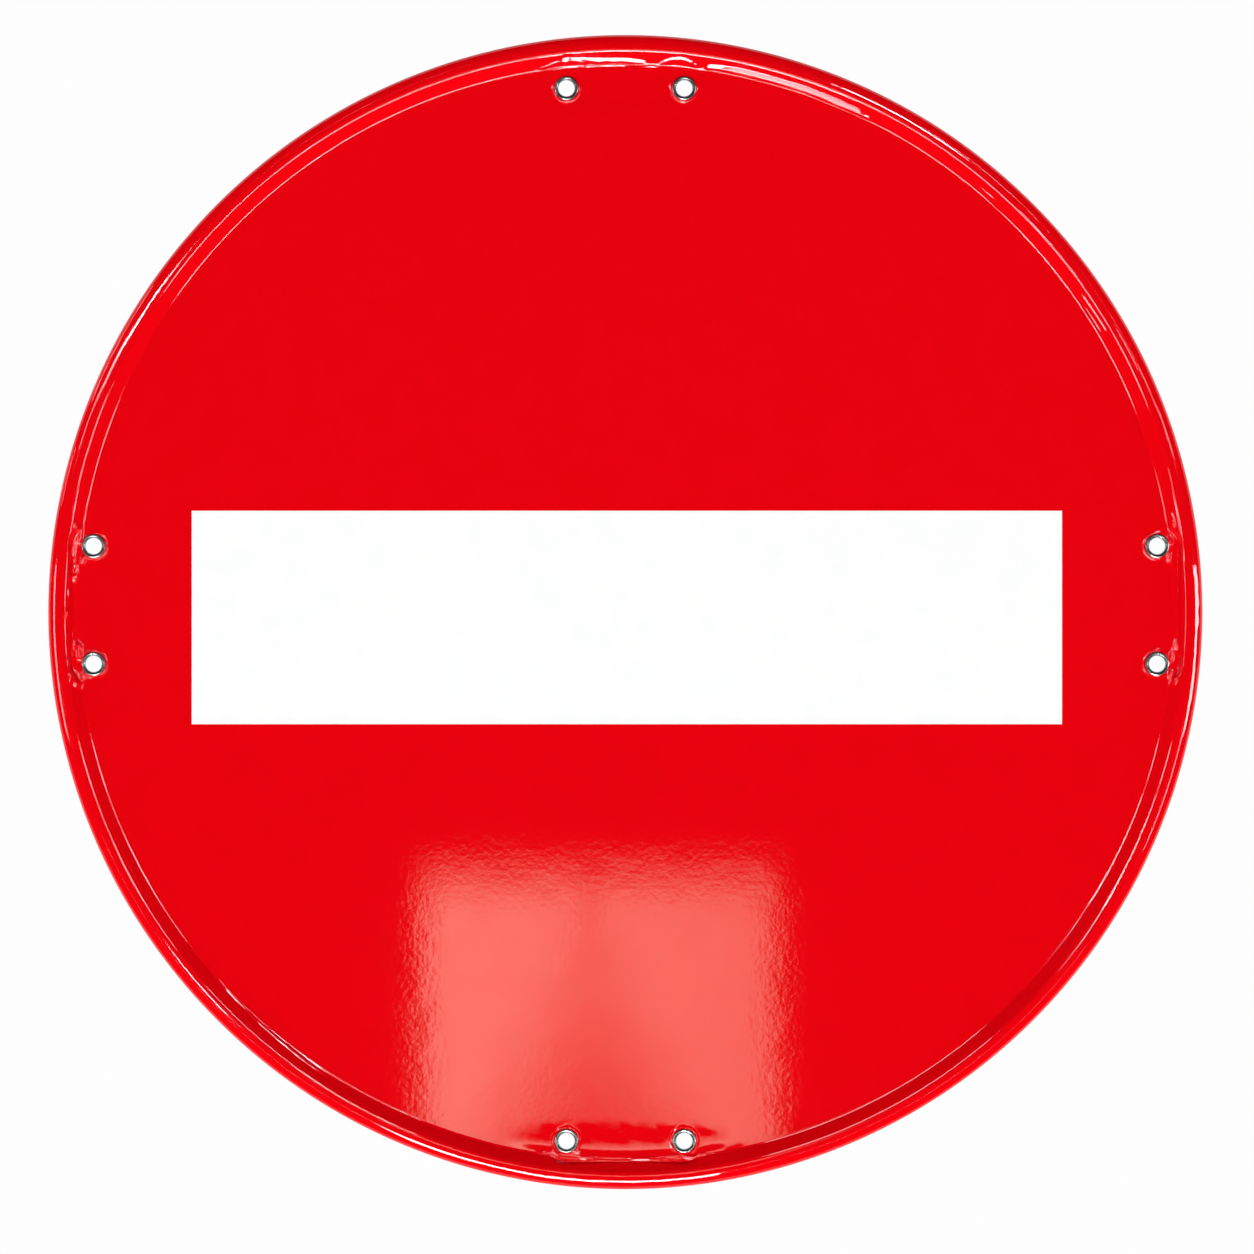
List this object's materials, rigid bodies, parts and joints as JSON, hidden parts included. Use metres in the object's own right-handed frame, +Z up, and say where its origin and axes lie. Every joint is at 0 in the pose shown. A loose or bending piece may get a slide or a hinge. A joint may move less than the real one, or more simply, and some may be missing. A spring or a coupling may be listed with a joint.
{
  "type": "no entry sign",
  "caption": "Round pressed steel road sign: red reflective face with a white level bar, raised rim, turned-back flange and lined bolt holes.",
  "frame": {"origin": "centre of the disc, in the plane of the flange's rear edge that bears on a wall", "axes": "+Z up, the red face looks towards -Y, +Y points out of the back into the wall or post, +X to the reader's right"},
  "size_m": [0.5999, 0.025, 0.6],
  "materials": {
    "galvanised_steel": "galvanised, matt, bare at the back",
    "red_film": "glossy reflective film",
    "white_film": "glossy reflective film",
    "zinc_plate": "bright zinc plate"
  },
  "bodies": {
    "root": {"sign_plate": "galvanised_steel", "red_film": "red_film", "white_bar": "white_film", "eyelet_top_left": "zinc_plate", "eyelet_top_right": "zinc_plate", "eyelet_right_upper": "zinc_plate", "eyelet_right_lower": "zinc_plate", "eyelet_bottom_right": "zinc_plate", "eyelet_bottom_left": "zinc_plate", "eyelet_left_lower": "zinc_plate", "eyelet_left_upper": "zinc_plate"}
  },
  "joints": []
}
